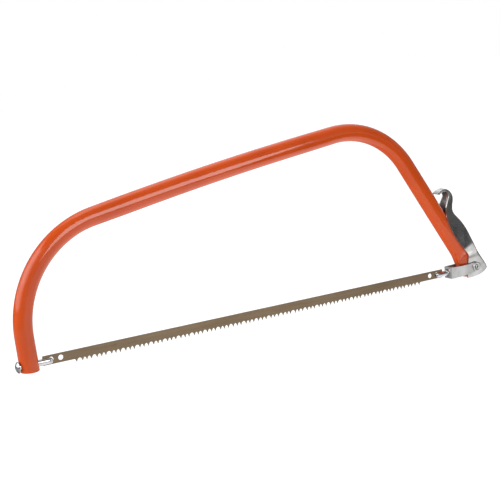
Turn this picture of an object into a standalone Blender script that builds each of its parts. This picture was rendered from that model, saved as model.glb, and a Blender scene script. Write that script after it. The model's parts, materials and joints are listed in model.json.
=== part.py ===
"""Tubular bow saw with a 24 inch blade and an over-centre tension lever.

Saw coordinates, in millimetres: X runs along the blade from its front end to its rear end, Z is up
from the blade's back edge, and Y is the saw's thickness, 0 in its middle plane. The datum empty places
those coordinates in the world, where the origin is under the middle of the saw's bounding box.
"""

import math

import bmesh
import bpy
from mathutils import Vector

MM = 0.001

# Where the saw's coordinates start, in the world.
DATUM = (-325.4, 0.0, 18.9)

# Frame: a bent tube through four corners, (x, z), with equal bends.
FRONT_FOOT = (-16.5, -14.1)
FRONT_CORNER = (-25.3, 136.8)
REAR_CORNER = (507.7, 222.2)
REAR_FOOT = (663.9, -17.65)
BEND_RADIUS = 123.0
TOP_CROWN = 2.9
TUBE_RADIUS = 11.8
TUBE_WALL = 1.4
FLAT_HALF = 6.8
FLAT_STARTS = 50.0
FLAT_ENDS = 36.0

# Blade: peg teeth in groups of three, with one odd tooth beyond the groups at each end.
BLADE_LENGTH = 607.0
BLADE_BACK_TO_ROOT = 11.6
BLADE_BACK_TO_TIP = 15.6
BLADE_THICKNESS = 0.9
# The lower rear corner is cut off, so that the yoke passes it as the lever opens.
BLADE_REAR_CHAMFER = 1.5
GROUP_COUNT = 27
GROUP_PITCH = 19.05
TOOTH_PITCH = 5.77
TOOTH_BASE = 3.6
BLADE_HOLE_RADIUS = 3.2
BLADE_HOLE_Z = -5.8
PINNED_HOLE_X = 10.6
SPARE_HOLE_X = 22.9

# Blade bolts: two forked shanks on one axis, which the blade train turns about.
BOLT_Z = -7.2
BOLT_RADIUS = 3.8
BOLT_REACH = 12.7
BOLT_END_RADIUS = 3.0
FORK_SLOT = 1.5
NOSE_FORK_START = -6.0
NOSE_HEAD_FACE = -29.8
NOSE_HEAD_RADIUS = 6.85
NOSE_HEAD_RIM = 0.8
NOSE_DOME = 3.0
REAR_HEAD_RADIUS = 4.9
REAR_HEAD_THICKNESS = 3.2
PIN_RADIUS = 1.9
PIN_HALF_LENGTH = 4.1
PIN_X = 9.7
PIN_Z = -6.2

# Over-centre joint: the lever turns on the frame at the fulcrum, the yoke on the lever at the pivot.
FULCRUM = (653.75, -6.2)
PIVOT = (662.0, -4.2)
LEVER_OPENS = 90.0
SHEET_THICKNESS = 1.5
PLATE_HALF_WIDTH = 8.6
FULCRUM_PIN_RADIUS = 2.4
FULCRUM_SLEEVE_RADIUS = 3.8
RIVET_RADIUS = 2.2
SPACER_RADIUS = 3.4
WASHER_RADIUS = 6.9
WASHER_THICKNESS = 1.4
GAP = 0.3

# Yoke: a strap bent round the tube's end.
YOKE_THICKNESS = 2.0
YOKE_FRONT = 616.8
YOKE_FRONT_HALF_WIDTH = 8.4
YOKE_CORNER_RADIUS = 3.5
YOKE_HALF_WIDTH = 10.9
YOKE_PARALLEL_FROM = 640.4
YOKE_EAR_RADIUS = 6.9
YOKE_SLOT_RADIUS = 4.1
YOKE_SLOT_RISE = 1.3
YOKE_EDGES = ((YOKE_FRONT, -15.0, 1.0), (634.0, -14.2, 0.9), (647.0, -12.9, 1.4))

# Lever, from its toe up to its curled tip: back edge (x, z), front edge (x, z), and, in the channel,
# the half width at the front edge and at the back.
LEVER_TOE = (
    (653.0, -18.8, 646.8, -18.6),
    (662.0, -17.9, 647.2, -14.0),
    (671.0, -16.3, 647.6, -9.0),
    (679.5, -13.0, 648.1, -4.0),
)
LEVER_CHANNEL = (
    (684.4, -6.9, 648.7, 0.5, 8.6, 8.6),
    (680.5, 0.4, 649.3, 4.0, 8.6, 8.6),
    (674.0, 9.8, 650.0, 9.0, 8.6, 8.6),
    (668.6, 18.0, 650.4, 14.3, 8.6, 8.5),
    (664.4, 25.2, 645.5, 18.9, 11.3, 9.2),
    (660.2, 32.3, 639.5, 24.6, 13.5, 10.0),
    (655.4, 40.5, 632.0, 32.6, 13.9, 10.4),
    (651.2, 48.4, 625.5, 41.6, 13.9, 10.5),
    (645.6, 57.5, 619.0, 51.7, 13.9, 10.4),
    (639.2, 65.8, 614.5, 61.0, 13.7, 10.2),
    (632.6, 72.8, 611.6, 70.0, 13.1, 9.8),
    (627.8, 78.4, 610.8, 77.8, 11.5, 9.2),
    (625.9, 83.8, 611.8, 84.6, 9.9, 8.5),
    (626.6, 89.6, 614.4, 90.8, 8.7, 7.9),
    (628.1, 95.6, 617.2, 96.5, 8.0, 7.6),
    (628.5, 101.4, 619.6, 101.6, 7.6, 7.4),
    (626.6, 107.0, 620.2, 104.8, 7.4, 7.2),
    (622.4, 111.6, 618.4, 107.8, 7.2, 7.0),
    (616.7, 114.0, 615.2, 109.9, 6.9, 6.8),
    (611.0, 113.4, 611.6, 110.0, 6.4, 6.3),
    (605.8, 111.2, 606.9, 108.4, 5.8, 5.7),
    (601.6, 108.3, 602.8, 106.2, 5.0, 5.0),
)
LEVER_CORNER = 3.0

TUBE_SIDES = 24
ROUND_SIDES = 28

COLOURS = {
    "enamel": ((0.62, 0.10, 0.02), 0.25, 0.0),
    "blade_steel": ((0.27, 0.21, 0.15), 0.42, 0.85),
    "bright_zinc": ((0.74, 0.75, 0.77), 0.2, 1.0),
    "satin_zinc": ((0.62, 0.62, 0.61), 0.45, 0.9),
    "dark_steel": ((0.22, 0.22, 0.21), 0.32, 0.95),
}


def clear_scene():
    for item in list(bpy.data.objects):
        bpy.data.objects.remove(item)


def collection(name):
    made = bpy.data.collections.new(name)
    bpy.context.scene.collection.children.link(made)
    return made


def material(name):
    found = bpy.data.materials.get(name)
    if found:
        return found
    colour, roughness, metallic = COLOURS[name]
    made = bpy.data.materials.new(name)
    made.use_nodes = True
    shader = made.node_tree.nodes["Principled BSDF"]
    shader.inputs["Base Color"].default_value = (*colour, 1.0)
    shader.inputs["Roughness"].default_value = roughness
    shader.inputs["Metallic"].default_value = metallic
    return made


def metres(*values):
    return Vector([value * MM for value in values])


def empty(name, place, parent=None):
    made = bpy.data.objects.new(name, None)
    PARTS.objects.link(made)
    made.empty_display_size = 0.01
    made.location = metres(*place)
    if parent:
        made.parent = parent
    return made


def add(name, data, finish, axis, rotation=(0.0, 0.0, 0.0), place=(0.0, 0.0, 0.0)):
    """Link a node whose place is given in saw coordinates, hung from an empty on its joint's axis."""
    made = bpy.data.objects.new(name, data)
    PARTS.objects.link(made)
    data.materials.append(material(finish))
    made.rotation_euler = rotation
    made.parent = axis
    made.location = metres(*place) - offset_of(axis)
    return made


def offset_of(axis):
    """Where an axis's empty is in saw coordinates."""
    total = Vector((0.0, 0.0, 0.0))
    while axis != datum:
        total += axis.location
        axis = axis.parent
    return total


def cutter(name, data, place=(0.0, 0.0, 0.0), rotation=(0.0, 0.0, 0.0)):
    made = bpy.data.objects.new(name, data)
    CUTTERS.objects.link(made)
    made.parent = datum
    made.location = metres(*place)
    made.rotation_euler = rotation
    made.hide_render = True
    made.display_type = "WIRE"
    return made


def cut(target, tool):
    step = target.modifiers.new(tool.name, "BOOLEAN")
    step.operation = "DIFFERENCE"
    step.solver = "EXACT"
    step.object = tool


def mesh_from(name, build):
    """A mesh that a function fills through bmesh, in millimetres, scaled to metres."""
    mesh = bpy.data.meshes.new(name)
    work = bmesh.new()
    build(work)
    bmesh.ops.recalc_face_normals(work, faces=work.faces)
    bmesh.ops.scale(work, vec=(MM, MM, MM), verts=work.verts)
    work.to_mesh(mesh)
    work.free()
    return mesh


def smooth(mesh, degrees=35.0):
    mesh.shade_smooth()
    mesh.set_sharp_from_angle(angle=math.radians(degrees))


def cylinder_mesh(name, radius, length):
    def build(work):
        bmesh.ops.create_cone(
            work, cap_ends=True, segments=ROUND_SIDES, radius1=radius, radius2=radius, depth=length
        )

    return mesh_from(name, build)


def block_mesh(name, size):
    def build(work):
        bmesh.ops.create_cube(work, size=1.0)
        bmesh.ops.scale(work, vec=size, verts=work.verts)

    return mesh_from(name, build)


def outline_mesh(name, points, half_thickness):
    """A flat outline (x, z), extruded both ways along Y."""

    def build(work):
        near = [work.verts.new((x, -half_thickness, z)) for x, z in points]
        face = work.faces.new(near)
        out = bmesh.ops.extrude_face_region(work, geom=[face])
        moved = [item for item in out["geom"] if isinstance(item, bmesh.types.BMVert)]
        bmesh.ops.translate(work, vec=(0.0, 2.0 * half_thickness, 0.0), verts=moved)

    return mesh_from(name, build)


def turned(name, profile, finish, axis, rotation, place, closed=False):
    """A Screw round Z of a profile (radius, z) that runs down the outer side from the top."""
    mesh = bpy.data.meshes.new(name)
    points = [(radius * MM, 0.0, z * MM) for radius, z in profile]
    edges = [(i, i + 1) for i in range(len(points) - 1)]
    if closed:
        edges.append((len(points) - 1, 0))
    mesh.from_pydata(points, edges, [])
    made = add(name, mesh, finish, axis, rotation, place)
    screw = made.modifiers.new("turn", "SCREW")
    screw.steps = ROUND_SIDES
    screw.render_steps = ROUND_SIDES
    screw.use_merge_vertices = True
    screw.merge_threshold = 0.00001
    screw.use_smooth_shade = True
    return made


def arc(centre, radius, start, end, steps):
    """Points (x, z) on an arc, angles in degrees from +X towards +Z."""
    found = []
    for i in range(steps + 1):
        angle = math.radians(start + (end - start) * i / steps)
        found.append((centre[0] + radius * math.cos(angle), centre[1] + radius * math.sin(angle)))
    return found


def smoothstep(value):
    value = min(1.0, max(0.0, value))
    return value * value * (3.0 - 2.0 * value)


# The frame's centreline, and the tube lofted along it.


def bend(before, corner, after, steps):
    """The arc that rounds a corner at the bend radius."""
    into = (Vector(before) - Vector(corner)).normalized()
    out = (Vector(after) - Vector(corner)).normalized()
    half = into.angle(out) / 2.0
    centre = Vector(corner) + (into + out).normalized() * (BEND_RADIUS / math.sin(half))
    start = Vector(corner) + into * (BEND_RADIUS / math.tan(half)) - centre
    end = Vector(corner) + out * (BEND_RADIUS / math.tan(half)) - centre
    turn = start.angle_signed(end)
    found = []
    for i in range(steps + 1):
        angle = -turn * i / steps
        c, s = math.cos(angle), math.sin(angle)
        found.append(centre + Vector((start.x * c - start.y * s, start.x * s + start.y * c)))
    return found


def between(start, end, parts):
    return [start.lerp(end, i / parts) for i in range(1, parts)]


def centreline():
    front = bend(FRONT_FOOT, FRONT_CORNER, REAR_CORNER, 12)
    rear = bend(FRONT_CORNER, REAR_CORNER, REAR_FOOT, 12)
    top = between(front[-1], rear[0], 6)
    rise = (rear[0] - front[-1]).orthogonal().normalized()
    if rise.y < 0.0:
        rise.negate()
    for i, point in enumerate(top, start=1):
        point += rise * (TOP_CROWN * math.sin(math.pi * i / (len(top) + 1)))
    foot = Vector(REAR_FOOT)
    down = (foot - rear[-1]).normalized()
    press = [foot - down * back for back in (54.0, FLAT_STARTS, 47.0, 44.0, 41.5, 39.0, FLAT_ENDS, 26.0)]
    leg = between(Vector(FRONT_FOOT), front[0], 2)
    return [Vector(FRONT_FOOT), *leg, *front, *top, *rear, *press, foot]


def section(half_thick, inset):
    """The tube's section (depth, thickness), pressed from round at a constant girth."""
    straight = (math.pi / 4.0) * 2.0 * (TUBE_RADIUS - half_thick) / 2.0 * 2.0
    corner = half_thick - inset
    found = []
    for i in range(TUBE_SIDES):
        angle = 2.0 * math.pi * i / TUBE_SIDES
        slide = max(-1.0, min(1.0, 1.9 * math.cos(angle)))
        found.append((straight * slide + corner * math.cos(angle), corner * math.sin(angle)))
    return found


def tube_rings(inset):
    line = centreline()
    foot = line[-1]
    rings = []
    for i, point in enumerate(line):
        ahead = line[min(i + 1, len(line) - 1)]
        behind = line[max(i - 1, 0)]
        along = (ahead - behind).normalized()
        depth = Vector((-along.y, along.x))
        pressed = 0.0
        if point.x > FULCRUM[0] / 2.0:
            pressed = smoothstep((FLAT_STARTS - (foot - point).length) / (FLAT_STARTS - FLAT_ENDS))
        half_thick = TUBE_RADIUS + (FLAT_HALF - TUBE_RADIUS) * pressed
        ring = []
        for deep, thick in section(half_thick, inset):
            spot = point + depth * deep
            if i in (0, len(line) - 1):
                spot += along * ((point.y - spot.y) / along.y)
            ring.append((spot.x, thick, spot.y))
        rings.append(ring)
    return rings


def build_frame(work):
    outer = [[work.verts.new(spot) for spot in ring] for ring in tube_rings(0.0)]
    inner = [[work.verts.new(spot) for spot in ring] for ring in tube_rings(TUBE_WALL)]
    for i in range(len(outer) - 1):
        for k in range(TUBE_SIDES):
            n = (k + 1) % TUBE_SIDES
            work.faces.new((outer[i][k], outer[i][n], outer[i + 1][n], outer[i + 1][k]))
            work.faces.new((inner[i][n], inner[i][k], inner[i + 1][k], inner[i + 1][n]))
    for end in (0, -1):
        for k in range(TUBE_SIDES):
            n = (k + 1) % TUBE_SIDES
            work.faces.new((outer[end][k], inner[end][k], inner[end][n], outer[end][n]))


def make_frame():
    mesh = mesh_from("frame_tube", build_frame)
    smooth(mesh)
    frame = add("frame_tube", mesh, "enamel", datum)
    bolt_hole = cylinder_mesh("nose_bolt_hole", BOLT_RADIUS + GAP, 60.0)
    place = (FRONT_FOOT[0], 0.0, BOLT_Z)
    cut(frame, cutter("nose_bolt_hole", bolt_hole, place, (0.0, math.radians(90.0), 0.0)))
    pin_hole = cylinder_mesh("fulcrum_pin_hole", FULCRUM_PIN_RADIUS + GAP, 40.0)
    place = (FULCRUM[0], 0.0, FULCRUM[1])
    cut(frame, cutter("fulcrum_pin_hole", pin_hole, place, (math.radians(90.0), 0.0, 0.0)))
    cut(frame, cutter("spacer_notch", outline_mesh("spacer_notch", notch_outline(), 20.0)))


def notch_outline():
    """The tube's rear corner, cut back to clear the spacer as it swings round the fulcrum."""
    arm = math.dist(FULCRUM, PIVOT)
    dead = math.degrees(math.atan2(PIVOT[1] - FULCRUM[1], PIVOT[0] - FULCRUM[0]))
    clear = SPACER_RADIUS + GAP
    keep = arm - clear
    edge = FULCRUM[0] + arm * math.cos(math.radians(dead - LEVER_OPENS)) - clear - 0.1
    start = -math.degrees(math.acos((edge - FULCRUM[0]) / keep))
    round_fulcrum = arc(FULCRUM, keep, start, dead, 12)
    round_pivot = arc(PIVOT, clear, 180.0 + dead, 90.0, 6)[1:]
    far_x = PIVOT[0] + 40.0
    low_z = REAR_FOOT[1] - 20.0
    return [(edge, low_z), *round_fulcrum, *round_pivot, (far_x, round_pivot[-1][1]), (far_x, low_z)]


# The blade.


def tooth_tips():
    middle = BLADE_LENGTH / 2.0
    tips = []
    for group in range(-1, GROUP_COUNT + 1):
        centre = middle + (group - (GROUP_COUNT - 1) / 2.0) * GROUP_PITCH
        offsets = (-TOOTH_PITCH, 0.0, TOOTH_PITCH)
        if group == -1:
            offsets = (TOOTH_PITCH,)
        if group == GROUP_COUNT:
            offsets = (-TOOTH_PITCH,)
        tips.extend(centre + offset for offset in offsets)
    return tips


def blade_outline():
    root = -BLADE_BACK_TO_ROOT
    points = [(0.0, 0.0), (0.0, root)]
    for x in tooth_tips():
        points.append((x - TOOTH_BASE / 2.0, root))
        points.append((x, -BLADE_BACK_TO_TIP))
        points.append((x + TOOTH_BASE / 2.0, root))
    points.append((BLADE_LENGTH - BLADE_REAR_CHAMFER, root))
    points.append((BLADE_LENGTH, root + BLADE_REAR_CHAMFER))
    points.append((BLADE_LENGTH, 0.0))
    return points


def add_outline(curve, points):
    spline = curve.splines.new("POLY")
    spline.points.add(len(points) - 1)
    for slot, (x, z) in zip(spline.points, points):
        slot.co = (x * MM, z * MM, 0.0, 1.0)
    spline.use_cyclic_u = True


def make_blade():
    curve = bpy.data.curves.new("saw_blade", "CURVE")
    curve.dimensions = "2D"
    curve.fill_mode = "BOTH"
    curve.extrude = BLADE_THICKNESS / 2.0 * MM
    add_outline(curve, blade_outline())
    for inset in (PINNED_HOLE_X, SPARE_HOLE_X):
        for x in (inset, BLADE_LENGTH - inset):
            add_outline(curve, arc((x, BLADE_HOLE_Z), BLADE_HOLE_RADIUS, 0.0, 345.0, 23))
    add("saw_blade", curve, "blade_steel", blade_axis, (math.radians(90.0), 0.0, 0.0))


# The forked bolts at the blade's ends, and the pins through their forks.


def rounded_end(tip):
    """The shank's rounded free end, as a profile from its middle out to its side."""
    flat = BOLT_RADIUS - BOLT_END_RADIUS
    turn = arc((flat, tip - BOLT_END_RADIUS), BOLT_END_RADIUS, 90.0, 0.0, 5)
    return [(0.0, tip), *turn]


def dome(base, radius, height, steps):
    """A spherical cap below a flat base, as a profile from its rim to its middle."""
    ball = (radius * radius + height * height) / (2.0 * height)
    reach = math.degrees(math.asin(radius / ball))
    return arc((0.0, base - height + ball), ball, -90.0 + reach, -90.0, steps)[1:]


def make_nose_bolt():
    rim = NOSE_HEAD_FACE - NOSE_HEAD_RIM
    profile = rounded_end(BOLT_REACH)
    profile.append((BOLT_RADIUS, NOSE_HEAD_FACE))
    profile.append((NOSE_HEAD_RADIUS, NOSE_HEAD_FACE))
    profile.append((NOSE_HEAD_RADIUS, rim))
    profile.extend(dome(rim, NOSE_HEAD_RADIUS, NOSE_DOME, 5)[:-1])
    profile.append((0.0, rim - NOSE_DOME))
    rotation = (0.0, math.radians(90.0), 0.0)
    bolt = turned("nose_bolt", profile, "bright_zinc", blade_axis, rotation, (0.0, 0.0, BOLT_Z))
    fork(bolt, "nose", NOSE_FORK_START, PIN_X)


def make_rear_bolt():
    head = YOKE_FRONT + YOKE_THICKNESS + 2.0 * GAP
    length = head - BLADE_LENGTH
    profile = rounded_end(BOLT_REACH)
    profile.append((BOLT_RADIUS, -length))
    profile.append((REAR_HEAD_RADIUS, -length))
    profile.append((REAR_HEAD_RADIUS, -length - REAR_HEAD_THICKNESS))
    profile.append((0.0, -length - REAR_HEAD_THICKNESS))
    rotation = (0.0, math.radians(-90.0), 0.0)
    place = (BLADE_LENGTH, 0.0, BOLT_Z)
    bolt = turned("rear_bolt", profile, "bright_zinc", blade_axis, rotation, place)
    fork(bolt, "rear", BLADE_LENGTH - NOSE_FORK_START - 2.0, BLADE_LENGTH - PIN_X)


def fork(bolt, end, closed_x, pin_x):
    """Saw the slot for the blade, drill the fork and put its pin in."""
    inward = 1.0 if pin_x > closed_x else -1.0
    length = 30.0
    slot = block_mesh(end + "_slot", (length, FORK_SLOT, 4.0 * BOLT_RADIUS))
    place = (closed_x + inward * length / 2.0, 0.0, BOLT_Z)
    cut(bolt, cutter(end + "_slot", slot, place))
    across = (math.radians(90.0), 0.0, 0.0)
    hole = cylinder_mesh(end + "_pin_hole", PIN_RADIUS + GAP, 20.0)
    cut(bolt, cutter(end + "_pin_hole", hole, (pin_x, 0.0, PIN_Z), across))
    pin = cylinder_mesh(end + "_pin", PIN_RADIUS, 2.0 * PIN_HALF_LENGTH)
    smooth(pin)
    add(end + "_pin", pin, "bright_zinc", blade_axis, across, (pin_x, 0.0, PIN_Z))


# The yoke and the lever: half sheets, mirrored about Y and given their thickness.


def sheet(name, columns, finish, axis, thickness):
    """Columns of points (x, y, z) or None, skinned between neighbours where both have the point."""

    def build(work):
        rows = [[work.verts.new(spot) if spot else None for spot in column] for column in columns]
        for here, there in zip(rows, rows[1:]):
            for k in range(len(here) - 1):
                corners = (here[k], here[k + 1], there[k + 1], there[k])
                if all(corners):
                    work.faces.new(corners)

    mesh = mesh_from(name, build)
    smooth(mesh, 50.0)
    made = add(name, mesh, finish, axis, place=(0.0, 0.0, 0.0))
    mirror = made.modifiers.new("other side", "MIRROR")
    mirror.use_axis = (False, True, False)
    mirror.mirror_object = datum
    mirror.merge_threshold = 0.00001
    solid = made.modifiers.new("gauge", "SOLIDIFY")
    solid.thickness = thickness * MM
    solid.offset = -1.0
    solid.use_even_offset = True
    return made


def yoke_edge(x):
    """The strap's lower and upper edges at x, ending in the round ear."""
    px, pz = PIVOT
    if x > px:
        reach = math.sqrt(max(0.0, YOKE_EAR_RADIUS**2 - (x - px) ** 2))
        return pz - reach, pz + reach
    marks = [*YOKE_EDGES, (px, pz - YOKE_EAR_RADIUS, pz + YOKE_EAR_RADIUS)]
    for (x0, low0, high0), (x1, low1, high1) in zip(marks, marks[1:]):
        if x <= x1:
            t = max(0.0, (x - x0) / (x1 - x0))
            return low0 + (low1 - low0) * t, high0 + (high1 - high0) * t
    return marks[-1][1:]


def make_yoke():
    corner = (YOKE_FRONT + YOKE_CORNER_RADIUS, -YOKE_FRONT_HALF_WIDTH + YOKE_CORNER_RADIUS)
    ear = [PIVOT[0] + YOKE_EAR_RADIUS * math.cos(math.radians(a)) for a in (9, 24, 40, 56, 72, 90)]
    plan = [(x, -YOKE_HALF_WIDTH) for x in ear]
    plan.extend([(654.0, -YOKE_HALF_WIDTH), (YOKE_PARALLEL_FROM, -YOKE_HALF_WIDTH)])
    plan.append((634.0, -YOKE_HALF_WIDTH + 0.9))
    plan.extend(arc(corner, YOKE_CORNER_RADIUS, -97.0, -180.0, 6))
    plan.append((YOKE_FRONT, 0.0))
    columns = [[(x, y, yoke_edge(x)[0]), (x, y, yoke_edge(x)[1])] for x, y in plan]
    yoke = sheet("yoke", columns, "satin_zinc", pivot_axis, YOKE_THICKNESS)
    half = YOKE_SLOT_RISE
    slot = arc((YOKE_FRONT, half), YOKE_SLOT_RADIUS, 0.0, 180.0, 10)
    slot.extend(arc((YOKE_FRONT, -half), YOKE_SLOT_RADIUS, 180.0, 360.0, 10))
    tool = outline_mesh("rear_bolt_slot", [(x - YOKE_FRONT, z) for x, z in slot], 6.0)
    place = (YOKE_FRONT, 0.0, BOLT_Z)
    cut(yoke, cutter("rear_bolt_slot", tool, place, (0.0, 0.0, math.radians(90.0))))
    hole = cylinder_mesh("yoke_rivet_hole", RIVET_RADIUS + GAP, 40.0)
    place = (PIVOT[0], 0.0, PIVOT[1])
    cut(yoke, cutter("yoke_rivet_hole", hole, place, (math.radians(90.0), 0.0, 0.0)))


def make_lever():
    columns = []
    for back_x, back_z, front_x, front_z in LEVER_TOE:
        y = -PLATE_HALF_WIDTH
        back = Vector((back_x, back_z))
        front = Vector((front_x, front_z))
        inward = (front - back).normalized()
        line = [front, front.lerp(back, 0.5), back + inward * LEVER_CORNER]
        line.extend([back + inward * (LEVER_CORNER * 0.3), back])
        columns.append([(spot.x, y, spot.y) for spot in line] + [None])
    for back_x, back_z, front_x, front_z, wide, narrow in LEVER_CHANNEL:
        back = Vector((back_x, back_z))
        front = Vector((front_x, front_z))
        depth = (front - back).length
        inward = (front - back) / depth
        round_off = min(LEVER_CORNER, depth * 0.6)
        near = back + inward * round_off
        shoulder = back + inward * (round_off * 0.3)
        middle = front.lerp(near, 0.5)
        columns.append(
            [
                (front.x, -wide, front.y),
                (middle.x, -(wide + narrow) / 2.0, middle.y),
                (near.x, -narrow, near.y),
                (shoulder.x, -narrow + round_off * 0.3, shoulder.y),
                (back.x, -narrow + round_off, back.y),
                (back.x, 0.0, back.y),
            ]
        )
    lever = sheet("lever", columns, "satin_zinc", fulcrum_axis, SHEET_THICKNESS)
    across = (math.radians(90.0), 0.0, 0.0)
    pivot_hole = cylinder_mesh("lever_rivet_hole", RIVET_RADIUS + GAP, 40.0)
    cut(lever, cutter("lever_rivet_hole", pivot_hole, (PIVOT[0], 0.0, PIVOT[1]), across))
    pin_hole = cylinder_mesh("lever_pin_hole", FULCRUM_PIN_RADIUS + GAP, 40.0)
    cut(lever, cutter("lever_pin_hole", pin_hole, (FULCRUM[0], 0.0, FULCRUM[1]), across))


# Rivet, washers, spacer, fulcrum pin and its sleeve.


def ring_profile(inner, outer, half_length):
    return [(outer, half_length), (outer, -half_length), (inner, -half_length), (inner, half_length)]


def make_joint_hardware():
    across = (math.radians(90.0), 0.0, 0.0)
    at_pivot = (PIVOT[0], 0.0, PIVOT[1])
    at_fulcrum = (FULCRUM[0], 0.0, FULCRUM[1])
    washer = ring_profile(RIVET_RADIUS + GAP, WASHER_RADIUS, WASHER_THICKNESS / 2.0)
    washer_y = YOKE_HALF_WIDTH + GAP + WASHER_THICKNESS / 2.0
    for name, side in (("near_washer", -1.0), ("far_washer", 1.0)):
        place = (PIVOT[0], side * washer_y, PIVOT[1])
        turned(name, washer, "satin_zinc", pivot_axis, across, place, closed=True)
    # The rivet's profile runs from its rolled, hollow near end (+Z turns to -Y) to its far head.
    seat = washer_y + WASHER_THICKNESS / 2.0 + GAP
    profile = [(0.0, seat - 4.0), (1.3, seat - 4.0), (1.3, seat + 0.2), (1.7, seat + 0.9)]
    profile.extend([(2.6, seat + 0.9), (3.1, seat + 0.4), (3.1, seat), (RIVET_RADIUS, seat)])
    profile.extend([(RIVET_RADIUS, -seat), (4.4, -seat), (4.4, -seat - 0.7), (3.2, -seat - 1.5)])
    profile.append((0.0, -seat - 1.7))
    turned("pivot_rivet", profile, "bright_zinc", pivot_axis, across, at_pivot)
    inside = PLATE_HALF_WIDTH - SHEET_THICKNESS - GAP
    spacer = ring_profile(RIVET_RADIUS + GAP, SPACER_RADIUS, inside)
    turned("pivot_spacer", spacer, "satin_zinc", pivot_axis, across, at_pivot, closed=True)
    pin = cylinder_mesh("fulcrum_pin", FULCRUM_PIN_RADIUS, 2.0 * PLATE_HALF_WIDTH)
    smooth(pin)
    add("fulcrum_pin", pin, "satin_zinc", fulcrum_axis, across, at_fulcrum)
    sleeve_half = FLAT_HALF - TUBE_WALL - GAP
    sleeve = ring_profile(FULCRUM_PIN_RADIUS + GAP, FULCRUM_SLEEVE_RADIUS, sleeve_half)
    turned("fulcrum_sleeve", sleeve, "satin_zinc", datum, across, at_fulcrum, closed=True)


clear_scene()
PARTS = collection("bow_saw")
CUTTERS = collection("cutters")
datum = empty("saw_datum", DATUM)
blade_axis = empty("blade_axis", (0.0, 0.0, BOLT_Z), datum)
fulcrum_axis = empty("fulcrum_axis", (FULCRUM[0], 0.0, FULCRUM[1]), datum)
pivot_axis = empty("pivot_axis", (PIVOT[0] - FULCRUM[0], 0.0, PIVOT[1] - FULCRUM[1]), fulcrum_axis)

make_frame()
make_blade()
make_nose_bolt()
make_rear_bolt()
make_yoke()
make_lever()
make_joint_hardware()
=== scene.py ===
"""Tubular bow saw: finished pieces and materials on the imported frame, with its studio."""

import json
import math

import bmesh
import bpy
from mathutils import Matrix, Vector


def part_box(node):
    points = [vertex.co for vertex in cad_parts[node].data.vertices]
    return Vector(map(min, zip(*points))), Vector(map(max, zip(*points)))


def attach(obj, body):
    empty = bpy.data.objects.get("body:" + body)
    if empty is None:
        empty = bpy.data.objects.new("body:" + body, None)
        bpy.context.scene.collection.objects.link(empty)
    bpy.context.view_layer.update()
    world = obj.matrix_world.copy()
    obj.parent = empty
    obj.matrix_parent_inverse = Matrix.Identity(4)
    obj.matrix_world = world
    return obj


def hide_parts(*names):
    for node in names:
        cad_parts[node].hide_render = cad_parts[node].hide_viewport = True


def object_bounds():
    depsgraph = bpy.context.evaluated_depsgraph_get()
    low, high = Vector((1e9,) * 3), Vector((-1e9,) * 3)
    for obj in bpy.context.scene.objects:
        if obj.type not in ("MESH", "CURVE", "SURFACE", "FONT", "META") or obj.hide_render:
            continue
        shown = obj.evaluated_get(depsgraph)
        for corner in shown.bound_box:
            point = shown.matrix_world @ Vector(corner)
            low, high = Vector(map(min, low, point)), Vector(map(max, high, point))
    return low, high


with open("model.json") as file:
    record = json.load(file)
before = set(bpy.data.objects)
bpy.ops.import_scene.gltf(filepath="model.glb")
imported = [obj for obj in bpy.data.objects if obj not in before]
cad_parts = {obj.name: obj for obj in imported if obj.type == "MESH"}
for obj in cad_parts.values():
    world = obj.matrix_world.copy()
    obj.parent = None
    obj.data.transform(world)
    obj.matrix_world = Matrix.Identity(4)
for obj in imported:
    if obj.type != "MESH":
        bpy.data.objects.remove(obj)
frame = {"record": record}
cad_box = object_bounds()

MM = 0.001

# Saw coordinates, in millimetres: X from the blade's front end, Y from the middle plane, Z from
# the blade's back edge.
blade_low, blade_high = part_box("saw_blade")
DATUM = Vector((blade_low.x, 0.0, blade_high.z))
BLADE_LENGTH = (blade_high.x - blade_low.x) / MM
JOINTS = {joint["name"]: joint for joint in frame["record"]["behaviour"]["joints"]}


def from_record(name):
    """A joint's place (x, z) in saw coordinates."""
    place = (Vector(JOINTS[name]["pos_m"]) - DATUM) / MM
    return (place.x, place.z)


FULCRUM = from_record("lever_hinge")
PIVOT = from_record("yoke_hinge")
BOLT_Z = from_record("blade_turn")[1]

# Frame tube: its centreline's ends and corners (x, z), then its section.
FRONT_FOOT = (-16.5, -14.1)
FRONT_CORNER = (-25.3, 136.8)
REAR_CORNER = (507.7, 222.2)
REAR_FOOT = (663.9, -17.65)
FOOT_LEAN = 22.0  # over this length the tube's rings tip towards the level end
BEND_RADIUS = 123.0
TOP_CROWN = 2.9  # rise in the middle of the top
TUBE_RADIUS = 11.8
TUBE_WALL = 1.4
TUBE_SIDES = 72
BEND_SHALLOWER = 0.05  # the share of its depth that the tube loses in a full bend
BEND_WIDER = 0.02
LIP = 0.35  # rounding of the rims at both ends
# The rear end is pressed to this half thickness, in a ramp between these distances from its foot.
FLAT_HALF = 6.8
FLAT_STARTS = 49.0
FLAT_ENDS = 36.0

# Blade: its teeth are in groups of three.
BLADE_HALF = 0.45
REAR_CHAMFER = 1.5
ROOT_Z = -11.6
TOOTH_DEPTH = 4.2
GROUP_COUNT = 27
GROUP_PITCH = 19.05
TOOTH_PITCH = 5.77
TOOTH_SET = 0.28
BLADE_RIM = 0.12  # bevel along the blade's plain edges
HOLE_RADIUS = 3.2
HOLE_Z = -5.8
HOLES_X = (10.6, 22.9)  # from each end

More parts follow.
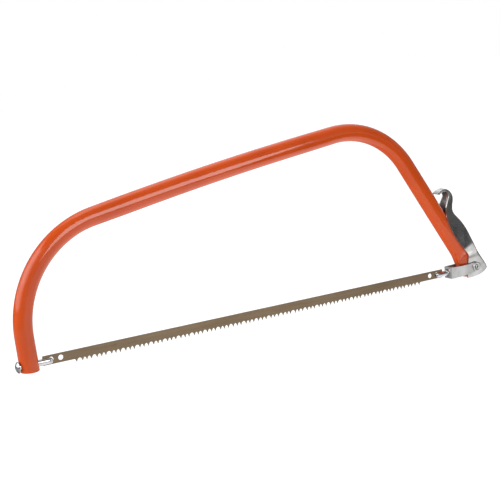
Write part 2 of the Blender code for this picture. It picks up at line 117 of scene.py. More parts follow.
# Bolts, pins and rivets.
HOLE_PLAY = 0.3  # a hole's radius beyond what goes through it
BOLT_RADIUS = 3.8
FORK_TIP = 12.7
FORK_SLOT = 1.5
PIN_X = 9.7  # from each end of the blade
PIN_Z = -6.2
NOSE_HEAD_FACE = -29.8
NOSE_CAP_RADIUS = 6.6
NOSE_CAP_RISE = 3.0
BOLT_PIN_RADIUS = 1.9
FULCRUM_PIN_RADIUS = 2.4
RIVET_RADIUS = 2.2
WASHER_RADIUS = 6.9
WASHER_HALF = 0.7
SPACER_RADIUS = 3.4
SPACER_PLAY = 0.3  # between the spacer and what is beside it

# Yoke and lever sheets.
YOKE_THICKNESS = 2.0
YOKE_FRONT = 616.8
YOKE_HALF_WIDTH = 10.9
YOKE_EAR = 6.9  # radius round the rivet
YOKE_SPLAY = 647.0  # behind this its arms are parallel
# Where along the yoke, its lower edge, its upper edge.
YOKE_EDGES = ((YOKE_FRONT, -15.0, 1.0), (634.0, -14.2, 0.9), (YOKE_SPLAY, -12.9, 1.4))
SHEET = 1.5
PLATE_HALF_WIDTH = 8.6
LEVER_CORNER = 3.0
# Back edge (x, z), front edge (x, z), half width at the front edge and at the back. The toe's rows
# are two flat cheeks, and the channel's rows have a back between them, up to the curled tip.
LEVER_TOE = (
    (653.0, -18.8, 646.8, -18.6, 8.6, 8.6),
    (662.0, -17.9, 647.2, -14.0, 8.6, 8.6),
    (671.0, -16.3, 647.6, -9.0, 8.6, 8.6),
    (679.5, -13.0, 648.1, -4.0, 8.6, 8.6),
)
LEVER_CHANNEL = (
    (684.4, -6.9, 648.7, 0.5, 8.6, 8.6),
    (680.5, 0.4, 649.3, 4.0, 8.6, 8.6),
    (674.0, 9.8, 650.0, 9.0, 8.6, 8.6),
    (668.6, 18.0, 650.4, 14.3, 8.6, 8.5),
    (664.4, 25.2, 645.5, 18.9, 11.3, 9.2),
    (660.2, 32.3, 639.5, 24.6, 13.5, 10.0),
    (655.4, 40.5, 632.0, 32.6, 13.9, 10.4),
    (651.2, 48.4, 625.5, 41.6, 13.9, 10.5),
    (645.6, 57.5, 619.0, 51.7, 13.9, 10.4),
    (639.2, 65.8, 614.5, 61.0, 13.7, 10.2),
    (632.6, 72.8, 611.6, 70.0, 13.1, 9.8),
    (627.8, 78.4, 610.8, 77.8, 11.5, 9.2),
    (625.9, 83.8, 611.8, 84.6, 9.9, 8.5),
    (626.6, 89.6, 614.4, 90.8, 8.7, 7.9),
    (628.1, 95.6, 617.2, 96.5, 8.0, 7.6),
    (628.5, 101.4, 619.6, 101.6, 7.6, 7.4),
    (626.6, 107.0, 620.2, 104.8, 7.4, 7.2),
    (622.4, 111.6, 618.4, 107.8, 7.2, 7.0),
    (616.7, 114.2, 615.2, 110.2, 7.1, 7.0),
    (611.0, 114.0, 611.6, 110.8, 7.0, 6.9),
    (605.8, 112.2, 607.0, 109.4, 6.9, 6.8),
    (601.2, 109.4, 602.8, 107.1, 6.7, 6.7),
)
LEVER_STEPS = 6

# Camera, in saw coordinates.
CAMERA_PLACE = (-478.2, -1297.0, 352.4)
CAMERA_RIGHT = (0.84940, -0.52180, -0.07905)
CAMERA_UP = (0.15992, 0.11175, 0.98078)
CAMERA_LENS = 86.4

WHITE = (1.0, 1.0, 1.0, 1.0)


# Materials.


class Graph:
    """The nodes of a material or of the world, made one call at a time."""

    def __init__(self, owner, coordinates="Object"):
        owner.use_nodes = True
        self.owner = owner
        self.nodes = owner.node_tree.nodes
        self.links = owner.node_tree.links
        self.where = self.nodes.new("ShaderNodeTexCoord")
        self.place = self.where.outputs[coordinates]

    def put(self, socket, value):
        if hasattr(value, "is_output"):
            self.links.new(value, socket)
        else:
            socket.default_value = value

    def stretched(self, scale):
        node = self.nodes.new("ShaderNodeMapping")
        self.links.new(self.place, node.inputs["Vector"])
        node.inputs["Scale"].default_value = scale
        return node.outputs["Vector"]

    def noise(self, scale, detail, rough=0.5, vector=None):
        node = self.nodes.new("ShaderNodeTexNoise")
        self.links.new(vector or self.place, node.inputs["Vector"])
        node.inputs["Scale"].default_value = scale
        node.inputs["Detail"].default_value = detail
        node.inputs["Roughness"].default_value = rough
        return node.outputs["Fac"]

    def cells(self, scale):
        node = self.nodes.new("ShaderNodeTexVoronoi")
        self.links.new(self.place, node.inputs["Vector"])
        node.inputs["Scale"].default_value = scale
        return node.outputs["Distance"]

    def remap(self, value, low, high, new_low=0.0, new_high=1.0, kind="SMOOTHSTEP"):
        node = self.nodes.new("ShaderNodeMapRange")
        node.interpolation_type = kind
        self.put(node.inputs["Value"], value)
        node.inputs["From Min"].default_value = low
        node.inputs["From Max"].default_value = high
        node.inputs["To Min"].default_value = new_low
        node.inputs["To Max"].default_value = new_high
        return node.outputs["Result"]

    def math(self, kind, a, b=0.0):
        node = self.nodes.new("ShaderNodeMath")
        node.operation = kind
        self.put(node.inputs[0], a)
        self.put(node.inputs[1], b)
        return node.outputs["Value"]

    def blend(self, factor, a, b):
        node = self.nodes.new("ShaderNodeMix")
        node.data_type = "RGBA"
        self.put(node.inputs["Factor"], factor)
        colours = [socket for socket in node.inputs if socket.type == "RGBA"]
        for socket, value in zip(colours, (a, b)):
            self.put(socket, value if hasattr(value, "is_output") else (*value, 1.0))
        return [socket for socket in node.outputs if socket.type == "RGBA"][0]

    def axis(self, name):
        node = self.nodes.new("ShaderNodeSeparateXYZ")
        self.links.new(self.place, node.inputs["Vector"])
        return node.outputs[name]

    def inner(self):
        """1 on a wall that faces the saw's middle plane, 0 on one that faces out; the mask for the
        painted shade between the sheets.
        """
        facing = self.nodes.new("ShaderNodeSeparateXYZ")
        self.links.new(self.where.outputs["Normal"], facing.inputs["Vector"])
        outward = self.math("MULTIPLY", self.axis("Y"), facing.outputs["Y"])
        return self.remap(outward, -0.001, -0.003)

    def bump(self, height, strength, distance, below=None):
        node = self.nodes.new("ShaderNodeBump")
        self.links.new(height, node.inputs["Height"])
        node.inputs["Strength"].default_value = strength
        node.inputs["Distance"].default_value = distance
        if below:
            self.links.new(below, node.inputs["Normal"])
        return node.outputs["Normal"]

    def finish(self, **inputs):
        """Set the material's shader and return the material."""
        shader = self.nodes["Principled BSDF"]
        for name, value in inputs.items():
            socket = shader.inputs[name.replace("_", " ")]
            if socket.type == "RGBA" and not hasattr(value, "is_output"):
                value = (*value, 1.0)
            self.put(socket, value)
        return self.owner


def enamel():
    """Glossy stoved enamel: broad tone drift, orange peel, dust nibs and fine rubbed marks."""
    g = Graph(bpy.data.materials.new("enamel"))
    drift = g.remap(g.noise(14.0, 2.0), 0.35, 0.65)
    colour = g.blend(drift, (0.575, 0.067, 0.0064), (0.625, 0.078, 0.0087))
    thin = g.remap(g.noise(90.0, 4.0, 0.6), 0.62, 0.78)
    colour = g.blend(g.math("MULTIPLY", thin, 0.25), colour, (0.50, 0.052, 0.006))
    rubbed = g.remap(g.noise(30.0, 6.0, 0.75, g.stretched((0.25, 1.0, 1.0))), 0.60, 0.70)
    roughness = g.remap(rubbed, 0.0, 1.0, 0.10, 0.17)
    peel = g.noise(420.0, 2.0, 0.45)
    wave = g.noise(85.0, 1.0)
    nibs = g.remap(g.cells(190.0), 0.0, 0.10, 1.0, 0.0)
    rare = g.math("MULTIPLY", nibs, g.remap(g.noise(60.0, 1.0), 0.60, 0.66))
    normal = g.bump(wave, 0.35, 0.0004)
    normal = g.bump(peel, 0.09, 0.00012, normal)
    normal = g.bump(rare, 0.5, 0.0001, normal)
    return g.finish(Base_Color=colour, Roughness=roughness, Normal=normal, IOR=1.5)


def blade_steel():
    """Tempered strip: brown temper tint in clouds, lengthwise rolling lines, brighter filed edges."""
    g = Graph(bpy.data.materials.new("blade_steel"))
    clouds = g.remap(g.noise(26.0, 5.0, 0.6, g.stretched((0.35, 1.0, 1.0))), 0.3, 0.72)
    colour = g.blend(clouds, (0.185, 0.131, 0.080), (0.235, 0.171, 0.110))
    grain = g.noise(900.0, 5.0, 0.65, g.stretched((0.018, 1.0, 1.0)))
    lines = g.remap(grain, 0.35, 0.68)
    colour = g.blend(g.math("MULTIPLY", lines, 0.35), colour, (0.30, 0.226, 0.152))
    stain = g.remap(g.noise(60.0, 6.0, 0.7), 0.60, 0.74)
    colour = g.blend(g.math("MULTIPLY", stain, 0.5), colour, (0.13, 0.090, 0.058))
    filed = g.remap(g.axis("Z"), -0.0120, -0.0128)
    colour = g.blend(g.math("MULTIPLY", filed, 0.55), colour, (0.27, 0.23, 0.185))
    roughness = g.remap(g.math("ADD", clouds, lines), 0.0, 2.0, 0.50, 0.38, "LINEAR")
    normal = g.bump(grain, 0.22, 0.00006)
    normal = g.bump(g.noise(48.0, 2.0), 0.12, 0.0002, normal)
    return g.finish(Base_Color=colour, Metallic=0.9, Roughness=roughness, Normal=normal)


def zinc(name, light, dark, shine, dull, pressed_grain, inside):
    """Zinc plate on steel: faint cloudy bloom, hairlines from handling and a fine pressed texture.

    Roughness goes from shine to dull with the bloom. Inside is how far painted shade darkens the faces
    turned to the saw's middle plane.
    """
    g = Graph(bpy.data.materials.new(name))
    bloom = g.remap(g.noise(70.0, 5.0, 0.6), 0.32, 0.70)
    colour = g.blend(bloom, light, dark)
    tint = g.remap(g.noise(28.0, 2.0), 0.45, 0.75)
    warm = tuple(a * b for a, b in zip(light, (0.98, 0.95, 0.88)))
    colour = g.blend(g.math("MULTIPLY", tint, 0.45), colour, warm)
    hair = g.remap(g.noise(700.0, 4.0, 0.7, g.stretched((1.0, 1.0, 0.05))), 0.60, 0.74)
    cross = g.remap(g.noise(620.0, 4.0, 0.7, g.stretched((0.06, 1.0, 0.9))), 0.64, 0.76)
    marks = g.math("MAXIMUM", hair, cross)
    colour = g.blend(g.math("MULTIPLY", marks, 0.22), colour, tuple(v * 0.72 for v in dark))
    # Painted shade: faces turned to the saw's middle plane, between the sheets, are blended towards
    # dark grey by the inside weight.
    inner = g.inner()
    colour = g.blend(g.math("MULTIPLY", inner, inside), colour, (0.16, 0.16, 0.162))
    base = g.remap(bloom, 0.0, 1.0, shine, dull, "LINEAR")
    roughness = g.math("ADD", base, g.math("MULTIPLY", marks, 0.10))
    roughness = g.math("ADD", roughness, g.math("MULTIPLY", inner, 0.2))
    normal = g.bump(g.noise(260.0, 4.0, 0.6), pressed_grain, 0.00008)
    normal = g.bump(marks, 0.15, 0.00002, normal)
    return g.finish(Base_Color=colour, Metallic=1.0, Roughness=roughness, Normal=normal)


ENAMEL = enamel()
BLADE_STEEL = blade_steel()
SATIN_ZINC = zinc(
    "satin_zinc",
    light=(0.67, 0.67, 0.665),
    dark=(0.56, 0.56, 0.555),
    shine=0.28,
    dull=0.40,
    pressed_grain=0.20,
    inside=0.6,
)
POLISHED_ZINC = zinc(
    "polished_zinc",
    light=(0.70, 0.70, 0.695),
    dark=(0.56, 0.56, 0.56),
    shine=0.15,
    dull=0.24,
    pressed_grain=0.10,
    inside=0.2,
)
BRIGHT_ZINC = zinc(
    "bright_zinc",
    light=(0.64, 0.64, 0.655),
    dark=(0.48, 0.49, 0.51),
    shine=0.09,
    dull=0.17,
    pressed_grain=0.10,
    inside=0.0,
)


# Shape helpers.


def smoothstep(value):
    value = min(1.0, max(0.0, value))
    return value * value * (3.0 - 2.0 * value)


def arc(centre, radius, start, end, steps):
    """Points (x, z) on an arc, angles in degrees from +X towards +Z."""
    found = []
    for i in range(steps + 1):
        angle = math.radians(start + (end - start) * i / steps)
        found.append((centre[0] + radius * math.cos(angle), centre[1] + radius * math.sin(angle)))
    return found


def spline(rows, steps):
    """Rows of numbers, with steps on a smooth curve through them from each row to the next."""
    found = []
    last = len(rows) - 1
    for i in range(last):
        before, here, there, after = (rows[min(last, max(0, i + k))] for k in (-1, 0, 1, 2))
        for j in range(steps):
            t = j / steps
            found.append(
                [
                    0.5
                    * (
                        2.0 * b
                        + (c - a) * t
                        + (2.0 * a - 5.0 * b + 4.0 * c - d) * t * t
                        + (3.0 * b - 3.0 * c + d - a) * t**3
                    )
                    for a, b, c, d in zip(before, here, there, after)
                ]
            )
    found.append(list(rows[-1]))
    return found


def mesh_from(name, build):
    mesh = bpy.data.meshes.new(name)
    work = bmesh.new()
    build(work)
    bmesh.ops.recalc_face_normals(work, faces=work.faces)
    bmesh.ops.scale(work, vec=(MM, MM, MM), verts=work.verts)
    work.to_mesh(mesh)
    work.free()
    mesh.shade_smooth()
    return mesh


def added(name, data):
    made = bpy.data.objects.new(name, data)
    bpy.context.scene.collection.objects.link(made)
    return made


def piece(name, mesh, material, body, replaced):
    """A finished piece in saw coordinates, in place of the CAD nodes it stands for."""
    made = added(name, mesh)
    made.location = DATUM
    mesh.materials.append(material)
    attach(made, body)
    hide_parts(*replaced)
    return made


def cut(target, mesh):
    """Take a shape in saw coordinates out of the target for good."""
    tool = added("cutter", mesh)
    tool.location = DATUM
    step = target.modifiers.new("cut", "BOOLEAN")
    step.operation = "DIFFERENCE"
    step.solver = "MANIFOLD"
    step.object = tool
    settle(target)
    bpy.data.objects.remove(tool)


def settle(target):
    """Make the modifiers' result the object's own mesh."""
    graph = bpy.context.evaluated_depsgraph_get()
    graph.update()
    made = bpy.data.meshes.new_from_object(target.evaluated_get(graph))
    target.modifiers.clear()
    target.data = made


def soften(target, width, segments, angle):
    """Round the sharp edges a little, with normals that keep flat faces flat."""
    bevel = target.modifiers.new("edges", "BEVEL")
    bevel.width = width * MM
    bevel.segments = segments
    bevel.limit_method = "ANGLE"
    bevel.angle_limit = math.radians(angle)
    bevel.use_clamp_overlap = True
    normals = target.modifiers.new("normals", "WEIGHTED_NORMAL")
    normals.weight = 60


def outline_mesh(name, points, half, place=(0.0, 0.0, 0.0), turn=0.0):
    """A flat outline (x, z), extruded both ways along Y, turned about Z and moved."""

    def build(work):
        near = [work.verts.new((x, -half, z)) for x, z in points]
        face = work.faces.new(near)
        out = bmesh.ops.extrude_face_region(work, geom=[face])
        moved = [item for item in out["geom"] if isinstance(item, bmesh.types.BMVert)]
        bmesh.ops.translate(work, vec=(0.0, 2.0 * half, 0.0), verts=moved)
        bmesh.ops.rotate(work, matrix=Matrix.Rotation(math.radians(turn), 3, "Z"), verts=work.verts)
        bmesh.ops.translate(work, vec=place, verts=work.verts)

    return mesh_from(name, build)


def circle(radius, sides=40):
    return arc((0.0, 0.0), radius, 0.0, 360.0 * (sides - 1) / sides, sides - 1)


def both_ends(half):
    """A profile (radius, distance) made of half of it and that half's mirror image."""
    return half + [(radius, -distance) for radius, distance in reversed(half)]


def turned_mesh(name, profile, along, place, sides=56, closed=False):
    """A profile (radius, distance) turned about the axis along, from place."""
    along = Vector(along)
    across = Vector((0.0, 0.0, 1.0)) if abs(along.z) < 0.5 else Vector((1.0, 0.0, 0.0))
    other = along.cross(across)

    def build(work):
        rings = []
        for radius, distance in profile:
            middle = Vector(place) + along * distance
            if radius < 1e-6:
                rings.append([work.verts.new(middle)])
                continue
            ring = []
            for i in range(sides):
                angle = 2.0 * math.pi * i / sides
                out = across * math.cos(angle) + other * math.sin(angle)
                ring.append(work.verts.new(middle + out * radius))
            rings.append(ring)
        pairs = list(zip(rings, rings[1:]))
        if closed:
            pairs.append((rings[-1], rings[0]))
        for here, there in pairs:
            for i in range(sides):
                n = (i + 1) % sides
                corners = [here[i % len(here)], here[n % len(here)]]
                corners += [there[n % len(there)], there[i % len(there)]]
                unique = list(dict.fromkeys(corners))
                if len(unique) > 2:
                    work.faces.new(unique)

    mesh = mesh_from(name, build)
    mesh.set_sharp_from_angle(angle=math.radians(48.0))
    return mesh


# Frame tube.


def bend(before, corner, after, steps):
    """Points on the arc that rounds a corner between two straights, all (x, z)."""
    into = (Vector(before) - Vector(corner)).normalized()
    out = (Vector(after) - Vector(corner)).normalized()
    half = into.angle(out) / 2.0
    centre = Vector(corner) + (into + out).normalized() * (BEND_RADIUS / math.sin(half))
    start = Vector(corner) + into * (BEND_RADIUS / math.tan(half)) - centre
    end = Vector(corner) + out * (BEND_RADIUS / math.tan(half)) - centre
    turn = start.angle_signed(end)
    found = []
    for i in range(steps + 1):
        angle = -turn * i / steps
        c, s = math.cos(angle), math.sin(angle)
        found.append(centre + Vector((start.x * c - start.y * s, start.x * s + start.y * c)))
    return found


def between(start, end, parts):
    """The points that part a straight, without its ends."""
    return [start.lerp(end, i / parts) for i in range(1, parts)]


def centreline():
    """Points along the tube, each with how oval its section is (0 round, 1 a full bend's)."""
    front = bend(FRONT_FOOT, FRONT_CORNER, REAR_CORNER, 56)
    rear = bend(FRONT_CORNER, REAR_CORNER, REAR_FOOT, 56)
    top = between(front[-1], rear[0], 72)
    rise = (rear[0] - front[-1]).orthogonal().normalized()
    if rise.y < 0.0:
        rise.negate()
    for i, point in enumerate(top, start=1):
        point += rise * (TOP_CROWN * math.sin(math.pi * i / (len(top) + 1)))
    foot = Vector(REAR_FOOT)
    down = (foot - rear[-1]).normalized()
    press_starts = FLAT_STARTS + 4.0
    plain = between(rear[-1], foot - down * press_starts, 24)
    press = [foot - down * (press_starts - 0.75 * i) for i in range(30)]
    end = between(press[-1], foot, 12)
    leg = between(Vector(FRONT_FOOT), front[0], 14)
    groups = [([Vector(FRONT_FOOT)] + leg, 0.75), (front, 1.0), (top, 0.0), (rear, 0.6)]
    groups.append((plain + press + end + [foot], 0.0))
    line = []
    for points, oval in groups:
        line.extend([point, oval] for point in points)
    ovals = [oval for _, oval in line]
    reach = 7
    for i, entry in enumerate(line):
        near = ovals[max(0, i - reach) : i + reach + 1]
        entry[1] = sum(near) / len(near)
    return line


def section(half_thick, oval, inset):
    """The tube's section (depth, thickness), oval in a bend and flat where it is pressed."""
    straight = (math.pi / 4.0) * 2.0 * (TUBE_RADIUS - half_thick)
    deep = (half_thick - inset) * (1.0 - BEND_SHALLOWER * oval)
    thick = (half_thick - inset) * (1.0 + BEND_WIDER * oval)
    found = []
    for i in range(TUBE_SIDES):
        angle = 2.0 * math.pi * i / TUBE_SIDES
        slide = max(-1.0, min(1.0, 1.9 * math.cos(angle)))
        found.append((straight * slide + deep * math.cos(angle), thick * math.sin(angle)))
    return found


def pressed(back):
    """How far the press has flattened the tube at this distance from its foot: a ramp to a crease."""
    t = min(1.0, max(0.0, (FLAT_STARTS - back) / (FLAT_STARTS - FLAT_ENDS)))
    return t**1.55


def tube_rings(inset, lip):
    """Rings of points along the tube, the end ones doubled, and pulled in by the lip to round the rim.

    The end rings are level, and those near the rear foot lean towards level.
    """
    line = centreline()
    foot = line[-1][0]
    rings = []
    for i, (point, oval) in enumerate(line):
        ahead = line[min(i + 1, len(line) - 1)][0]
        behind = line[max(i - 1, 0)][0]
        along = (ahead - behind).normalized()
        depth = Vector((-along.y, along.x))
        half_thick = TUBE_RADIUS
        if point.x > FULCRUM[0] / 2.0:
            half_thick += (FLAT_HALF - TUBE_RADIUS) * pressed((foot - point).length)
        ends = i in (0, len(line) - 1)
        copies = [(inset, 0.0)]
        if ends:
            copies = [(inset, LIP), (inset + lip, 0.0)]
            if i == 0:
                copies.reverse()
        lean = 1.0 if ends else max(0.0, 1.0 - (foot - point).length / FOOT_LEAN)
        for pulled, back in copies:
            ring = []
            for deep, thick in section(half_thick, oval, pulled):
                spot = point + depth * deep
                spot += along * (lean * (point.y + back - spot.y) / along.y)
                ring.append((spot.x, thick, spot.y))
            rings.append(ring)
    return rings


def build_tube(work):
    """The tube's outer and inner skins, joined by a ring of faces at each end."""
    outer = [[work.verts.new(spot) for spot in ring] for ring in tube_rings(0.0, LIP)]
    inner = [[work.verts.new(spot) for spot in ring] for ring in tube_rings(TUBE_WALL, -LIP)]
    for i in range(len(outer) - 1):
        for k in range(TUBE_SIDES):
            n = (k + 1) % TUBE_SIDES
            work.faces.new((outer[i][k], outer[i][n], outer[i + 1][n], outer[i + 1][k]))
            work.faces.new((inner[i][n], inner[i][k], inner[i + 1][k], inner[i + 1][n]))
    for end in (0, -1):
        for k in range(TUBE_SIDES):
            n = (k + 1) % TUBE_SIDES
            work.faces.new((outer[end][k], inner[end][k], inner[end][n], outer[end][n]))


def notch_outline():
    """The tube's rear corner, cut back to clear the spacer as it swings round the fulcrum."""
    clear = SPACER_RADIUS + SPACER_PLAY
    arm = math.dist(FULCRUM, PIVOT)
    dead = math.degrees(math.atan2(PIVOT[1] - FULCRUM[1], PIVOT[0] - FULCRUM[0]))
    keep = arm - clear
    edge = FULCRUM[0] + arm * math.cos(math.radians(dead - 90.0)) - clear - 0.1
    start = -math.degrees(math.acos((edge - FULCRUM[0]) / keep))
    round_fulcrum = arc(FULCRUM, keep, start, dead, 16)
    round_pivot = arc(PIVOT, clear, 180.0 + dead, 90.0, 10)[1:]
    far_x = PIVOT[0] + 40.0
    low_z = REAR_FOOT[1] - 20.0
    return [(edge, low_z), *round_fulcrum, *round_pivot, (far_x, round_pivot[-1][1]), (far_x, low_z)]


def make_tube():
    mesh = mesh_from("enamelled_tube", build_tube)
    tube = piece("enamelled_tube", mesh, ENAMEL, "frame", ["frame_tube"])
    hole = circle(BOLT_RADIUS + HOLE_PLAY)
    cut(tube, outline_mesh("bolt_hole", hole, 30.0, (FRONT_FOOT[0], 0.0, BOLT_Z), 90.0))
    hole = circle(FULCRUM_PIN_RADIUS + HOLE_PLAY)
    cut(tube, outline_mesh("pin_hole", hole, 20.0, (FULCRUM[0], 0.0, FULCRUM[1])))
    cut(tube, outline_mesh("notch", notch_outline(), 20.0))
    tube.data.set_sharp_from_angle(angle=math.radians(38.0))


# Blade.


def tooth_tips():
    """Where the teeth are: whole groups of three, with one tooth of the next group at each end."""
    middle = BLADE_LENGTH / 2.0
    tips = []
    for group in range(-1, GROUP_COUNT + 1):
        centre = middle + (group - (GROUP_COUNT - 1) / 2.0) * GROUP_PITCH
        offsets = (-TOOTH_PITCH, 0.0, TOOTH_PITCH)
        if group == -1:
            offsets = (TOOTH_PITCH,)
        if group == GROUP_COUNT:
            offsets = (-TOOTH_PITCH,)
        tips.extend(centre + offset for offset in offsets)
    return tips


# A tooth's flank: how far it stands below the root line, and its half width there.
FLANK = ((0.0, 2.3), (0.25, 1.85), (0.8, 1.5), (2.4, 0.82), (3.8, 0.22), (TOOTH_DEPTH, 0.05))


def blade_outline():
    """Points (x, z, side, drop, pull) round the blade.

    Side is the face that the tooth is filed on, drop is the depth below the roots, and pull is how
    far the bevel moves the point in x and z on that face.
    """
    rim = BLADE_RIM
    points = [(0.0, -0.8, 0, 0.0, (rim, 0.0)), (0.0, ROOT_Z + 0.5, 0, 0.0, (rim, 0.0))]
    points.append((0.5, ROOT_Z, 0, 0.0, (rim, rim)))
    last = None
    for number, x in enumerate(tooth_tips()):
        side = -1 if number % 2 else 1
        if last is not None:
            rise = 0.45 if x - last > TOOTH_PITCH + 0.5 else 0.25
            for t in (0.25, 0.5, 0.75):
                lift = rise * math.sin(math.pi * t)
                start = last + FLANK[0][1]
                end = x - FLANK[0][1]
                points.append((start + (end - start) * t, ROOT_Z + lift, 0, 0.0, (0.0, rim)))
        for way, flank in ((-1, FLANK), (1, FLANK[::-1])):
            for drop, half in flank:
                filed = 0.55 * smoothstep(drop / 1.5) * min(1.0, half / 0.5)
                pull = (-way * filed, 0.5 * smoothstep(drop / TOOTH_DEPTH))
                points.append((x + way * half, ROOT_Z - drop, side, drop, pull))
        last = x
    points.append((BLADE_LENGTH - REAR_CHAMFER, ROOT_Z, 0, 0.0, (-rim, rim)))
    points.append((BLADE_LENGTH, ROOT_Z + REAR_CHAMFER, 0, 0.0, (-rim, 0.0)))
    points.append((BLADE_LENGTH, -0.8, 0, 0.0, (-rim, 0.0)))
    points.append((BLADE_LENGTH - 0.8, 0.0, 0, 0.0, (0.0, -rim)))
    points.append((0.8, 0.0, 0, 0.0, (0.0, -rim)))
    return points


def blade_loop(work, points):
    """Four rows across the thickness, joined by faces. Returns the outer two rows' edges."""
    rows = [[], [], [], []]
    count = len(points)
    for x, z, side, drop, pull in points:
        lean = -side * TOOTH_SET * (drop / TOOTH_DEPTH) ** 1.5
        near_cut, far_cut = -0.30, 0.30
        near_pull = far_pull = 0.35 if drop else 1.0
        if side and drop:
            near_cut, far_cut = (0.25, 0.38) if side > 0 else (-0.38, -0.25)
            near_pull, far_pull = (1.0, 0.1) if side > 0 else (0.1, 1.0)
        across = (
            (-BLADE_HALF, near_pull),
            (near_cut, 0.0),
            (far_cut, 0.0),
            (BLADE_HALF, far_pull),
        )
        for row, (y, share) in zip(rows, across):
            row.append(work.verts.new((x + pull[0] * share, y + lean, z + pull[1] * share)))
    for here, there in zip(rows, rows[1:]):
        for i in range(count):
            n = (i + 1) % count
            work.faces.new((here[i], here[n], there[n], there[i]))
    faces = []
    for row in (rows[0], rows[3]):
        faces.append([work.edges.get((row[i], row[(i + 1) % count])) for i in range(count)])
    return faces


def build_blade(work):
    loops = [blade_loop(work, blade_outline())]
    for inset in HOLES_X:
        for x in (inset, BLADE_LENGTH - inset):
            ring = []
            for px, pz in circle(HOLE_RADIUS, 48):
                out = (BLADE_RIM * px / HOLE_RADIUS, BLADE_RIM * pz / HOLE_RADIUS)
                ring.append((x + px, HOLE_Z + pz, 0, 0.0, out))
            loops.append(blade_loop(work, ring))
    for face in (0, 1):
        edges = [edge for loop in loops for edge in loop[face]]
        bmesh.ops.triangle_fill(work, use_beauty=True, edges=edges)


def make_blade():
    mesh = mesh_from("toothed_blade", build_blade)
    mesh.set_sharp_from_angle(angle=math.radians(18.0))
    piece("toothed_blade", mesh, BLADE_STEEL, "blade_set", ["saw_blade"])


# Forked bolts and their pins.


def fork_profile(head):
    """Shank profile from its rounded free end back to the head's own points."""
    nose = 3.0
    end = [(0.0, FORK_TIP), (0.5, FORK_TIP)]
    end.extend(arc((BOLT_RADIUS - nose, FORK_TIP - nose), nose, 84.0, 0.0, 9))
    return end + head


def fork(bolt, start, reach, pin_x):
    """Saw the blade's slot into a bolt and drill it for its pin."""
    low, high = sorted((start, start + reach))
    bow = FORK_SLOT / 2.0
    points = [(low, -bow), (high, -bow), (high, bow), (low, bow)]
    slot = outline_mesh("slot", points, 10.0)
    slot.transform(Matrix.Rotation(math.radians(90.0), 4, "X"))
    slot.transform(Matrix.Translation((0.0, 0.0, BOLT_Z * MM)))
    cut(bolt, slot)
    cut(bolt, outline_mesh("pin_hole", circle(BOLT_PIN_RADIUS + 0.15), 10.0, (pin_x, 0.0, PIN_Z)))
    bolt.data.shade_smooth()
    bolt.data.set_sharp_from_angle(angle=math.radians(40.0))
    soften(bolt, 0.16, 2, 40.0)


def make_nose_bolt():
    """Its head has a fillet under it, a rounded rim and a domed cap."""
    face = NOSE_HEAD_FACE
    head = [(BOLT_RADIUS, face + 0.6), (BOLT_RADIUS + 0.4, face + 0.1), (6.4, face)]
    head.extend([(6.75, face - 0.15), (6.85, face - 0.45), (6.75, face - 0.85)])
    ball = (NOSE_CAP_RADIUS**2 + NOSE_CAP_RISE**2) / (2.0 * NOSE_CAP_RISE)
    reach = math.degrees(math.asin(NOSE_CAP_RADIUS / ball))
    head.extend(arc((0.0, face - 0.95 - 2.85 + ball), ball, -90.0 + reach, -90.0, 12)[:-1])
    head.append((0.0, face - 3.8))
    mesh = turned_mesh("nose_forked_bolt", fork_profile(head), (1.0, 0.0, 0.0), (0.0, 0.0, BOLT_Z))
    bolt = piece("nose_forked_bolt", mesh, BRIGHT_ZINC, "blade_set", ["nose_bolt"])
    fork(bolt, -6.0, 30.0, PIN_X)


def make_rear_bolt():
    """Its head sits behind the yoke's front wall."""
    under = YOKE_FRONT + YOKE_THICKNESS + 0.6 - BLADE_LENGTH
    head = [(BOLT_RADIUS, -under + 0.4), (BOLT_RADIUS + 0.3, -under), (4.7, -under)]
    head.extend([(4.9, -under - 0.2), (4.9, -under - 2.7), (4.5, -under - 3.2), (0.0, -under - 3.2)])
    place = (BLADE_LENGTH, 0.0, BOLT_Z)
    mesh = turned_mesh("rear_forked_bolt", fork_profile(head), (-1.0, 0.0, 0.0), place)
    bolt = piece("rear_forked_bolt", mesh, BRIGHT_ZINC, "blade_set", ["rear_bolt"])
    fork(bolt, BLADE_LENGTH + 4.0, -30.0, BLADE_LENGTH - PIN_X)


def make_cross_pins():
    profile = both_ends([(0.0, 4.1), (1.2, 4.1), (1.6, 4.0), (BOLT_PIN_RADIUS, 3.7)])
    for name, node, x in (
        ("nose_cross_pin", "nose_pin", PIN_X),
        ("rear_cross_pin", "rear_pin", BLADE_LENGTH - PIN_X),
    ):
        mesh = turned_mesh(name, profile, (0.0, 1.0, 0.0), (x, 0.0, PIN_Z), 40)
        piece(name, mesh, BRIGHT_ZINC, "blade_set", [node])


# Yoke and lever.


def sheet_piece(name, columns, finish, body, node, thickness):
    """Columns of points (x, y, z) or None, skinned, mirrored about Y and given their gauge."""

    def build(work):
        rows = [[work.verts.new(spot) if spot else None for spot in column] for column in columns]
        for here, there in zip(rows, rows[1:]):
            for k in range(len(here) - 1):
                corners = (here[k], here[k + 1], there[k + 1], there[k])
                if all(corners):
                    work.faces.new(corners)
        halves = work.verts[:] + work.edges[:] + work.faces[:]
        out = bmesh.ops.duplicate(work, geom=halves)
        copies = [item for item in out["geom"] if isinstance(item, bmesh.types.BMVert)]
        bmesh.ops.scale(work, vec=(1.0, -1.0, 1.0), verts=copies)
        flipped = [item for item in out["geom"] if isinstance(item, bmesh.types.BMFace)]
        bmesh.ops.reverse_faces(work, faces=flipped)
        bmesh.ops.remove_doubles(work, verts=work.verts, dist=0.001)

    made = piece(name, mesh_from(name, build), finish, body, [node])
    solid = made.modifiers.new("gauge", "SOLIDIFY")
    solid.thickness = thickness * MM
    solid.offset = -1.0
    solid.use_even_offset = True
    settle(made)
    return made


